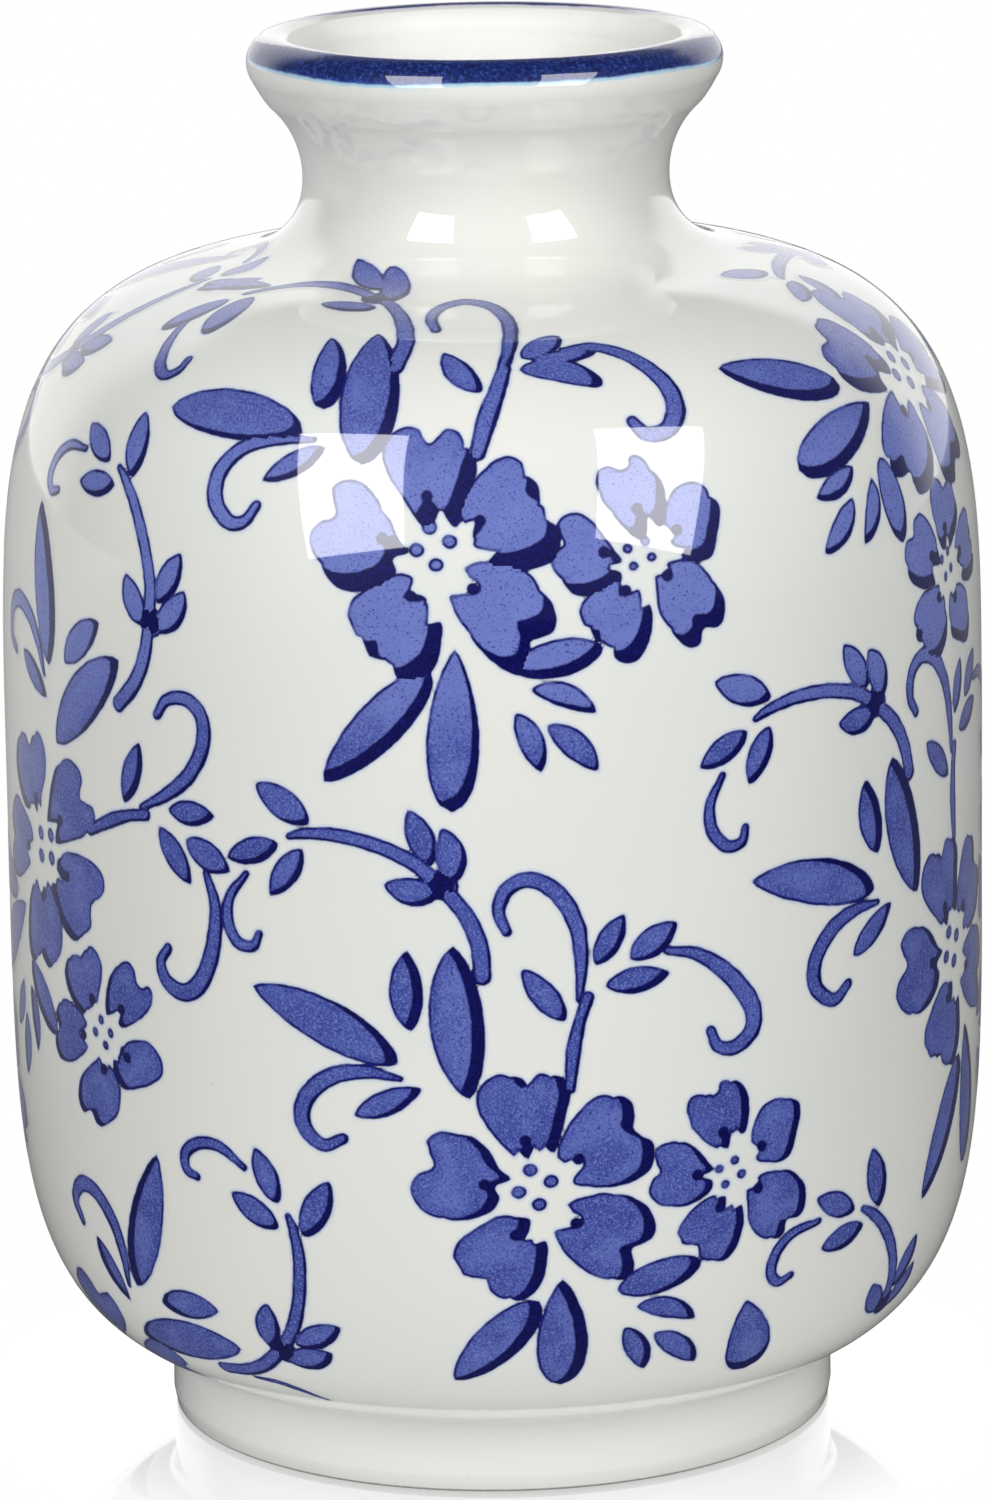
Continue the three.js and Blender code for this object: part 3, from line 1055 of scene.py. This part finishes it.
def colour(red, green, blue):
    """A colour given as sRGB from 0 to 255."""
    linear = [c / 255 / 12.92 if c < 10 else ((c / 255 + 0.055) / 1.055) ** 2.4 for c in (red, green, blue)]
    return (*linear, 1)


def glaze_white(n):
    """The tin glaze's colour: milky, a little warmer and cooler from place to place, with rare specks."""
    cloud = n.noise(45, 1)
    base = n.mix(n.ramp(cloud, 0.3, 0.7), colour(225, 227, 223), colour(229, 229, 223))
    speck = n.ramp(n.noise(2.4, 1), 0.82, 0.86)
    return n.mix(n.times(speck, 0.2), base, colour(176, 168, 152))


def glaze_finish(n, coat=1.0):
    """The glassy top layer, the same over the white and the painting so that one runs into the other."""
    n.surface(Roughness=n.ramp(n.noise(9, 2), 0.3, 0.7, 0.36, 0.44), Specular_IOR_Level=0.12)
    n.surface(Coat_Weight=coat, Coat_Roughness=0.03, Coat_IOR=1.7)
    peel = n.plus(n.noise(14, 0), n.times(n.noise(3.5, 0), 0.06))
    n.bump(peel, 1.0, 0.05)


def white_glaze_material():
    """The opaque white tin glaze of the outside."""
    n = Nodes("white_tin_glaze")
    n.surface(Base_Color=glaze_white(n))
    glaze_finish(n)
    return n.material


def lining_glaze_material():
    """The thinner, duller glaze inside."""
    n = Nodes("white_lining_glaze")
    tint = n.mix(n.ramp(n.noise(20, 2), 0.35, 0.65), colour(240, 241, 237), colour(234, 235, 230))
    roughness = n.ramp(n.noise(6, 2), 0.3, 0.7, 0.5, 0.62)
    n.surface(Base_Color=tint, Roughness=roughness, Specular_IOR_Level=0.3)
    n.bump(n.noise(9, 1), 0.8, 0.05)
    return n.material


def cobalt_paint_material():
    """Brushed cobalt: a speckled mid-blue wash, navy shades, a dark line round each shape, a soft edge."""
    n = Nodes("cobalt_painting")
    jitter = n.times(n.math("SUBTRACT", n.noise(2.2, 2), 0.5), 0.4)
    depth = n.plus(n.attribute("depth"), jitter)
    shade = n.plus(n.attribute("dark"), n.times(jitter, 1.2))
    grain = n.noise(0.4, 2, 0.6)
    wash = n.ramp(n.plus(n.noise(6, 1), n.times(n.attribute("tone"), 0.25)), 0.4, 0.8)
    fill = n.mix(wash, colour(74, 87, 166), colour(62, 74, 152))
    pool = n.times(n.ramp(depth, 0.8, 3.0), n.ramp(n.noise(7, 0), 0.4, 0.65))
    fill = n.mix(n.times(pool, 0.45), fill, colour(104, 119, 192))
    # Painted light: the paint is made lighter in a band round the upper belly, from 140 to 200 mm up, as if
    # more light fell there.
    level = n.add("ShaderNodeSeparateXYZ", {0: n.place}).outputs["Z"]
    painted_light_band = n.times(n.ramp(level, 0.14, 0.155), n.ramp(level, 0.185, 0.2, 1, 0.2))
    fill = n.mix(n.times(painted_light_band, 0.6), fill, colour(122, 136, 206))
    fill = n.mix(n.ramp(grain, 0.48, 0.7), fill, colour(108, 122, 192))
    fill = n.mix(n.ramp(grain, 0.3, 0.44, 1, 0), fill, colour(44, 54, 136))
    navy = n.mix(n.ramp(grain, 0.42, 0.7), colour(0, 1, 66), colour(10, 14, 112))
    dashes = n.ramp(n.noise(4, 1), 0.34, 0.54, 0.5, 1)
    line = n.ramp(depth, 0.42, 0.8, 1, 0)
    painted = n.mix(n.times(line, dashes), fill, colour(14, 18, 104))
    painted = n.mix(n.ramp(shade, -0.15, 0.3), painted, navy)
    halo = n.mix(n.ramp(depth, -0.6, -0.1), glaze_white(n), colour(206, 214, 227))
    cover = n.ramp(depth, -0.1, 0.26)
    n.surface(Base_Color=n.mix(cover, halo, painted))
    glaze_finish(n)
    return n.material


BAND_COAT = 0.8  # the glassy layer is a little weaker on the lip's band


def lip_band_material():
    """The brushed band: speckled navy over the crest, with a lighter line along its lower edge."""
    n = Nodes("cobalt_lip_band")
    jitter = n.times(n.math("SUBTRACT", n.noise(2.4, 2), 0.5), 0.5)
    depth = n.plus(n.attribute("depth"), jitter)
    across = n.plus(n.attribute("across"), n.times(jitter, 2))
    grain = n.noise(0.7, 3, 0.65)
    navy = n.mix(n.ramp(grain, 0.4, 0.52), colour(6, 20, 78), colour(18, 40, 106))
    navy = n.mix(n.ramp(grain, 0.55, 0.66), navy, colour(48, 70, 148))
    light = n.mix(n.ramp(grain, 0.4, 0.65), colour(30, 50, 132), colour(62, 84, 166))
    painted = n.mix(n.ramp(across, -6.9, -5.4), light, navy)
    edge = n.mix(n.ramp(across, -4, -3), colour(168, 205, 226), colour(214, 210, 228))
    halo = n.mix(n.ramp(depth, -0.75, -0.1), glaze_white(n), edge)
    n.surface(Base_Color=n.mix(n.ramp(depth, -0.12, 0.4), halo, painted))
    glaze_finish(n, BAND_COAT)
    return n.material


def bare_clay_material():
    """The gritty, dull clay where the foot is wiped free of glaze. Its grey is darker than the clay's own:
    painted shadow along the line where the foot meets the floor.
    """
    n = Nodes("bare_clay")
    grit = n.noise(0.8, 4, 0.7)
    # Partly the clay's colour, partly painted shadow: these greys are darker than bare clay so that the
    # foot's contact line looks shaded.
    body = n.mix(n.ramp(grit, 0.35, 0.65), colour(180, 177, 171), colour(158, 155, 149))
    patches = n.ramp(n.noise(14, 2), 0.4, 0.7)
    roughness = n.ramp(grit, 0.3, 0.7, 0.75, 0.95)
    n.surface(Base_Color=n.mix(patches, body, colour(170, 167, 160)), Roughness=roughness)
    n.bump(grit, 0.6, 0.3)
    return n.material


# ------------------------------
# Put the vase together.


def dress(obj, material, node=None):
    """Gives a piece its material, hangs it on the root body, and hides the node that it stands for."""
    obj.data.materials.append(material)
    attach(obj, "root")
    if node:
        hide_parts(node)


white = white_glaze_material()
lining_glaze = lining_glaze_material()
clay = bare_clay_material()
for node_name, sections in build_sections().items():
    for section in sections:
        if section.name == "foot_bare_clay":
            dress(section, clay, node_name)
            continue
        dress(section, white, node_name)
        section.data.materials.append(lining_glaze)

paint = cobalt_paint_material()
for painted_piece in build_painting():
    dress(painted_piece, paint)
dress(build_lip_band(), lip_band_material())


# ------------------------------
# The studio: floor, softboxes, surroundings and camera.


WHITE = (1, 1, 1, 1)
FLOOR_Z = -0.0001  # just clear of the foot
FLOOR_HALF_WIDTH = 4
FLOOR_GLOSS = 0.4  # close to the foot; it fades out around it
ROOM_GLOW = 0.09
BOUNCE = 0.6  # how brightly the floor lights the vase from close to its foot
BACKDROP_GLOW = 1.2
BACKDROP_SPREAD = (0.4, 0.72)  # how far round to the back, as a direction's share along Y
BACKDROP_TOP = (0.39, 0.47)  # where it ends behind the vase, as a direction's share upwards
BACKDROP_RISE = (0.25, 0.12)  # how much higher it reaches on the left and on the right
SOFT_BOX_SIZE = (0.5, 0.86)
SOFT_BOX_ELEVATION = 29.5
SOFT_BOX_DISTANCE = 1.2
LENS = 183.44
CAMERA_SPOT = (0, -1.3574, 0.4395)
CAMERA_PITCH = 0.2298  # looking down, in radians
CAMERA_ROLL = -0.0136


def studio_floor():
    """A pale, slightly glossy floor that is as white as the background to the camera."""
    mesh = bpy.data.meshes.new("studio_floor")
    half = FLOOR_HALF_WIDTH
    corners = [(-half, -half, FLOOR_Z), (half, -half, FLOOR_Z), (half, half, FLOOR_Z), (-half, half, FLOOR_Z)]
    mesh.from_pydata(corners, [], [(0, 1, 2, 3)])
    obj = bpy.data.objects.new("studio_floor", mesh)
    bpy.context.scene.collection.objects.link(obj)
    n = Nodes("studio_floor")
    n.surface(Base_Color=(0.55, 0.55, 0.55, 1), Roughness=0.5, Emission_Color=WHITE)
    from_axis = n.add("ShaderNodeVectorMath", {0: n.place}, operation="LENGTH").outputs["Value"]
    near = n.times(n.ramp(from_axis, 0.0615, 0.0685), n.ramp(from_axis, 0.08, 0.18, BOUNCE, 0))
    n.surface(Emission_Strength=near)
    white = n.add("ShaderNodeEmission", {"Color": WHITE, "Strength": 1.0}).outputs[0]
    mirror = n.add("ShaderNodeBsdfGlossy", {"Color": WHITE, "Roughness": 0.03}).outputs[0]
    spot = n.add("ShaderNodeSeparateXYZ", {0: n.place}).outputs
    gloss = n.ramp(from_axis, 0.064, 0.1, FLOOR_GLOSS, 0)
    seen = n.add("ShaderNodeMixShader", {0: gloss, 1: white, 2: mirror}).outputs[0]
    behind = n.plus(n.ramp(spot["Y"], -0.15, 0.45, 0.04, 0.37), n.ramp(spot["Y"], 2.2, 4, 0, 0.8))
    mirrored = n.times(behind, n.ramp(spot["X"], -0.6, 0.4, 1.3, 0.5))
    in_reflections = n.add("ShaderNodeEmission", {"Color": WHITE, "Strength": mirrored}).outputs[0]
    ray = n.add("ShaderNodeLightPath").outputs
    lit = n.add("ShaderNodeMixShader", {0: ray["Is Glossy Ray"], 1: n.shader.outputs[0], 2: in_reflections})
    both = n.add("ShaderNodeMixShader", {0: ray["Is Camera Ray"], 1: lit.outputs[0], 2: seen}).outputs[0]
    n.set(n.tree.nodes["Material Output"].inputs["Surface"], both)
    obj.data.materials.append(n.material)


def soft_box(name, azimuth, roll, watts):
    """An area light that faces the vase from above. Azimuth is in degrees from the front to the right."""
    light = bpy.data.lights.new(name, "AREA")
    light.shape = "RECTANGLE"
    light.size, light.size_y = SOFT_BOX_SIZE
    light.energy = watts
    obj = bpy.data.objects.new(name, light)
    az, el = math.radians(azimuth), math.radians(SOFT_BOX_ELEVATION)
    away = Vector((math.cos(el) * math.sin(az), -math.cos(el) * math.cos(az), math.sin(el)))
    obj.location = SOFT_BOX_DISTANCE * away + Vector((0, 0, 0.5 * HEIGHT * MM))
    facing = Matrix.Rotation(az, 4, "Z") @ Matrix.Rotation(math.pi / 2 - el, 4, "X")
    obj.rotation_euler = (facing @ Matrix.Rotation(math.radians(roll), 4, "Z")).to_euler()
    bpy.context.scene.collection.objects.link(obj)


def surroundings():
    """White behind the vase for the camera. Reflections see a bright backdrop behind it and a dim room."""
    world = bpy.data.worlds.new("studio")
    bpy.context.scene.world = world
    n = Nodes("studio", world)
    towards = n.add("ShaderNodeSeparateXYZ", {0: n.place}).outputs
    behind = n.ramp(towards["Y"], *BACKDROP_SPREAD)
    rise_left = n.ramp(towards["X"], -0.45, 0.05, BACKDROP_RISE[0], 0)
    rise_right = n.ramp(towards["X"], 0.02, 0.3, 0, BACKDROP_RISE[1])
    lowered = n.math("SUBTRACT", towards["Z"], n.plus(rise_left, rise_right))
    height = n.ramp(lowered, *BACKDROP_TOP, 1, 0.12)
    backdrop = n.times(n.times(behind, height), BACKDROP_GLOW)
    glow = n.plus(backdrop, ROOM_GLOW)
    seen = n.add("ShaderNodeBackground", {"Color": WHITE, "Strength": 1.0}).outputs[0]
    lit = n.add("ShaderNodeBackground", {"Color": WHITE, "Strength": glow}).outputs[0]
    camera_ray = n.add("ShaderNodeLightPath").outputs["Is Camera Ray"]
    choose = n.add("ShaderNodeMixShader", {0: camera_ray, 1: lit, 2: seen}).outputs[0]
    n.set(n.add("ShaderNodeOutputWorld").inputs[0], choose)


def camera():
    """A camera at the photograph's viewing angle."""
    data = bpy.data.cameras.new("camera")
    data.sensor_width = 36
    data.lens = LENS
    obj = bpy.data.objects.new("camera", data)
    facing = Matrix.Rotation(math.pi / 2 - CAMERA_PITCH, 4, "X") @ Matrix.Rotation(CAMERA_ROLL, 4, "Z")
    obj.matrix_world = Matrix.Translation(CAMERA_SPOT) @ facing
    bpy.context.scene.collection.objects.link(obj)
    bpy.context.scene.camera = obj


studio_floor()
soft_box("soft_box_left", -35, 13, 9.1)
soft_box("soft_box_right", 41, -18, 8.4)
surroundings()
camera()
bpy.context.scene.view_settings.view_transform = "Standard"
